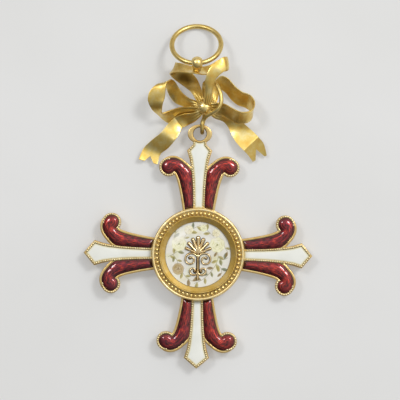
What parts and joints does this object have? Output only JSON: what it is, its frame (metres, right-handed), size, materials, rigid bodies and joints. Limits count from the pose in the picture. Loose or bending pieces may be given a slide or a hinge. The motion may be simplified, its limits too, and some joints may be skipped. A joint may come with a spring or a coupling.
{
  "type": "cross medal",
  "caption": "Cross-shaped order medal with white arms, ruby scrolls, a round medallion in a beaded bezel, a gold ribbon bow and a suspension ring.",
  "frame": {"origin": "centre of the back cap's flat face, on the surface that the medal lies on", "axes": "+Z out of the medal's front, +Y from the medallion towards the suspension ring, +X to the right seen from the front"},
  "size_m": [0.042, 0.0635, 0.0071],
  "materials": {
    "cross_gold": "satin yellow gold",
    "bezel_gold": "finely brushed yellow gold",
    "ornament_gold": "chased yellow gold",
    "bow_gold": "satin yellow gold",
    "wire_gold": "polished yellow gold",
    "white_enamel": "glossy opaque white enamel",
    "ruby_enamel": "glossy translucent ruby enamel over engraved gold",
    "painted_enamel": "glossy white enamel with pale painted flowers"
  },
  "bodies": {
    "medal": {"cross_body": "cross_gold", "bezel": "bezel_gold", "medallion_disc": "painted_enamel", "ornament": "ornament_gold", "back_cap": "cross_gold", "white_arm_top": "white_enamel", "white_arm_left": "white_enamel", "white_arm_bottom": "white_enamel", "white_arm_right": "white_enamel", "red_scroll_1": "ruby_enamel", "red_scroll_2": "ruby_enamel", "red_scroll_3": "ruby_enamel", "red_scroll_4": "ruby_enamel", "red_scroll_5": "ruby_enamel", "red_scroll_6": "ruby_enamel", "red_scroll_7": "ruby_enamel", "red_scroll_8": "ruby_enamel", "bow": "bow_gold", "link_wire": "wire_gold"},
    "ring": {"suspension_ring": "wire_gold"}
  },
  "joints": [
    {"name": "ring_swing", "type": "hinge", "parent": "medal", "child": "ring", "pos_m": [-0.0007, 0.03485, 0.00593], "axis": [1, 0, 0], "range_deg": [0, 190]}
  ]
}
